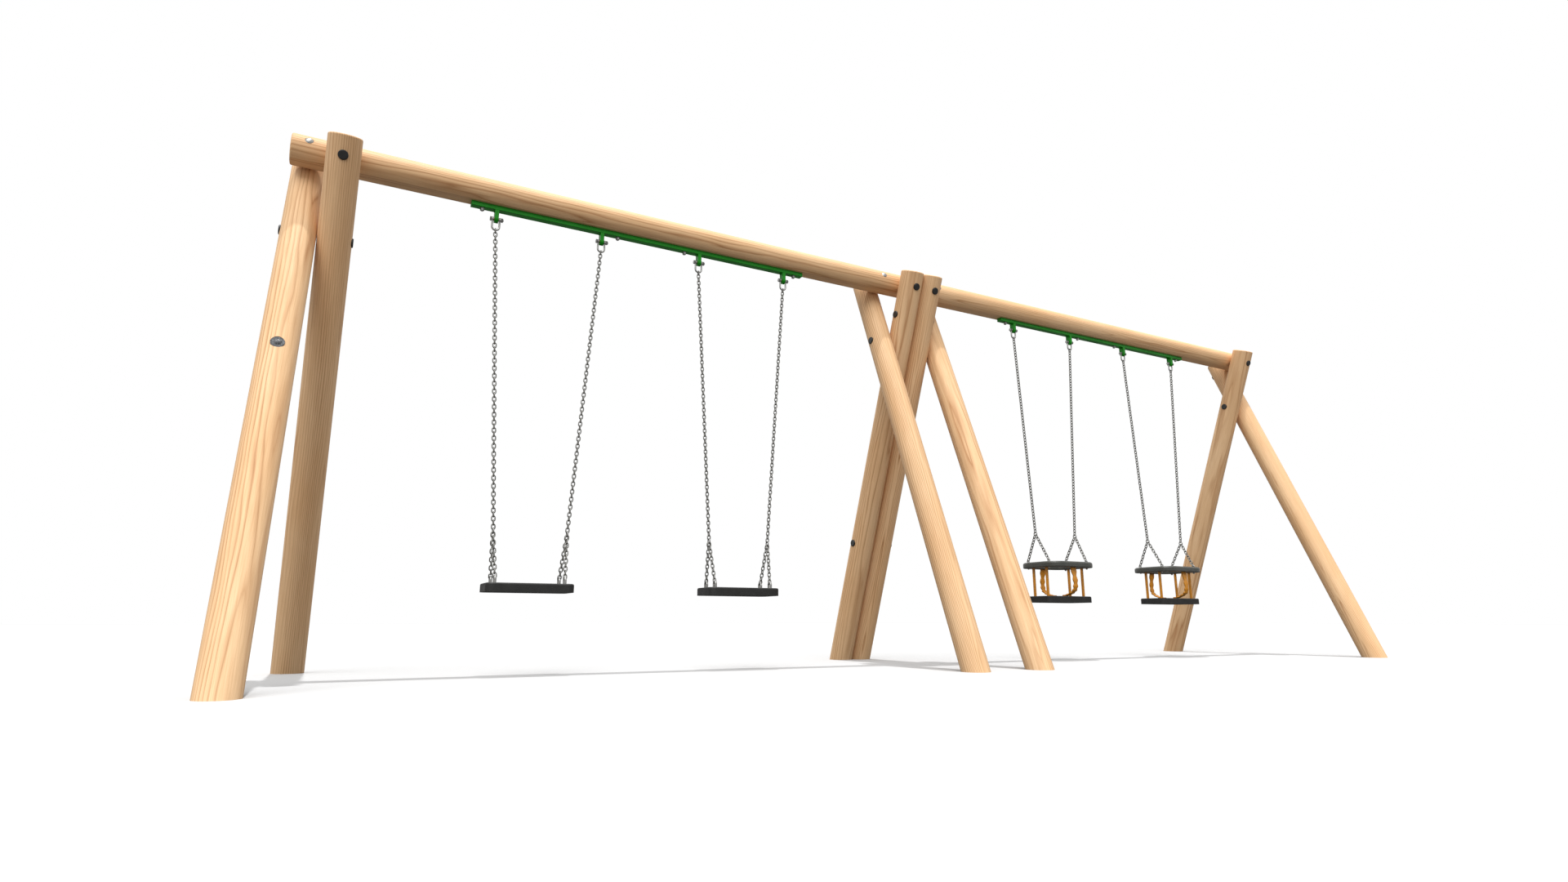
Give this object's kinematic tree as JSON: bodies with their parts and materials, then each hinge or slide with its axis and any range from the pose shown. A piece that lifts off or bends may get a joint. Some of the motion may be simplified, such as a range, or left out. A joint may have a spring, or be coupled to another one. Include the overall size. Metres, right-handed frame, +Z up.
{
  "type": "swing set",
  "caption": "Free-standing timber swing frame of crossed round poles with two beams, flat rubber seats and toddler cradle seats hung on chains.",
  "frame": {"origin": "on the ground, under the middle of the two beams", "axes": "+X along the beams with the flat seats at -X, +Y to the rear, +Z up"},
  "size_m": [7.211, 1.7234, 2.5382],
  "materials": {
    "pine": "turned, planed smooth, clear-glazed softwood",
    "green_paint": "satin green powder coat",
    "galvanised": "hot-dip galvanised",
    "chain_steel": "weathered galvanised chain",
    "bronze": "sintered bronze",
    "black_caps": "moulded polypropylene",
    "seat_rubber": "moulded rubber, fine texture",
    "rim_rubber": "moulded rubber, slight sheen",
    "amber": "amber plastic, satin"
  },
  "bodies": {
    "frame": {"front_leg_1": "pine", "rear_leg_1": "pine", "front_leg_2": "pine", "rear_leg_2": "pine", "front_leg_3": "pine", "rear_leg_3": "pine", "front_leg_4": "pine", "rear_leg_4": "pine", "left_beam": "pine", "right_beam": "pine", "left_hanger_bar": "green_paint", "right_hanger_bar": "green_paint", "left_hanger_lugs": "green_paint", "right_hanger_lugs": "green_paint", "lug_bushes": "bronze", "hanger_bar_bolts": "galvanised", "hanger_bar_washers": "galvanised", "hanger_bar_nuts": "galvanised", "leg_bolts": "galvanised", "crossing_rods": "galvanised", "tie_rods": "galvanised", "recessed_washers": "galvanised", "recessed_nuts": "galvanised", "nut_caps": "black_caps", "blank_disc": "galvanised"},
    "flat_swing_1_hangers": {"flat_swing_1_shackles": "galvanised", "flat_swing_1_shackle_bolts": "galvanised", "flat_swing_1_chains": "chain_steel"},
    "flat_swing_1_carrier": {"flat_swing_1_fork_rings": "chain_steel", "flat_swing_1_fork_chains": "chain_steel", "flat_swing_1_seat": "seat_rubber", "flat_swing_1_seat_loops": "galvanised"},
    "flat_swing_2_hangers": {"flat_swing_2_shackles": "galvanised", "flat_swing_2_shackle_bolts": "galvanised", "flat_swing_2_chains": "chain_steel"},
    "flat_swing_2_carrier": {"flat_swing_2_fork_rings": "chain_steel", "flat_swing_2_fork_chains": "chain_steel", "flat_swing_2_seat": "seat_rubber", "flat_swing_2_seat_loops": "galvanised"},
    "cradle_swing_1_hangers": {"cradle_swing_1_shackles": "galvanised", "cradle_swing_1_shackle_bolts": "galvanised", "cradle_swing_1_chains": "chain_steel"},
    "cradle_swing_1_carrier": {"cradle_swing_1_fork_rings": "chain_steel", "cradle_swing_1_fork_chains": "chain_steel", "cradle_swing_1_seat": "seat_rubber", "cradle_swing_1_rim": "rim_rubber", "cradle_swing_1_posts": "amber", "cradle_swing_1_spines": "amber", "cradle_swing_1_eye_bolts": "galvanised"},
    "cradle_swing_2_hangers": {"cradle_swing_2_shackles": "galvanised", "cradle_swing_2_shackle_bolts": "galvanised", "cradle_swing_2_chains": "chain_steel"},
    "cradle_swing_2_carrier": {"cradle_swing_2_fork_rings": "chain_steel", "cradle_swing_2_fork_chains": "chain_steel", "cradle_swing_2_seat": "seat_rubber", "cradle_swing_2_rim": "rim_rubber", "cradle_swing_2_posts": "amber", "cradle_swing_2_spines": "amber", "cradle_swing_2_eye_bolts": "galvanised"}
  },
  "joints": [
    {"name": "flat_swing_1_swing", "type": "hinge", "parent": "frame", "child": "flat_swing_1_hangers", "pos_m": [-2.372, 0, 2.318], "axis": [1, 0, 0], "range_deg": [-60, 60]},
    {"name": "flat_swing_1_tilt", "type": "hinge", "parent": "flat_swing_1_hangers", "child": "flat_swing_1_carrier", "pos_m": [-2.372, 0, 0.69], "axis": [1, 0, 0], "range_deg": [-30, 30]},
    {"name": "flat_swing_2_swing", "type": "hinge", "parent": "frame", "child": "flat_swing_2_hangers", "pos_m": [-1.228, 0, 2.318], "axis": [1, 0, 0], "range_deg": [-60, 60]},
    {"name": "flat_swing_2_tilt", "type": "hinge", "parent": "flat_swing_2_hangers", "child": "flat_swing_2_carrier", "pos_m": [-1.228, 0, 0.69], "axis": [1, 0, 0], "range_deg": [-30, 30]},
    {"name": "cradle_swing_1_swing", "type": "hinge", "parent": "frame", "child": "cradle_swing_1_hangers", "pos_m": [1.228, 0, 2.318], "axis": [1, 0, 0], "range_deg": [-60, 60]},
    {"name": "cradle_swing_1_tilt", "type": "hinge", "parent": "cradle_swing_1_hangers", "child": "cradle_swing_1_carrier", "pos_m": [1.228, 0, 0.848], "axis": [1, 0, 0], "range_deg": [-30, 30]},
    {"name": "cradle_swing_2_swing", "type": "hinge", "parent": "frame", "child": "cradle_swing_2_hangers", "pos_m": [2.372, 0, 2.318], "axis": [1, 0, 0], "range_deg": [-60, 60]},
    {"name": "cradle_swing_2_tilt", "type": "hinge", "parent": "cradle_swing_2_hangers", "child": "cradle_swing_2_carrier", "pos_m": [2.372, 0, 0.848], "axis": [1, 0, 0], "range_deg": [-30, 30]}
  ]
}
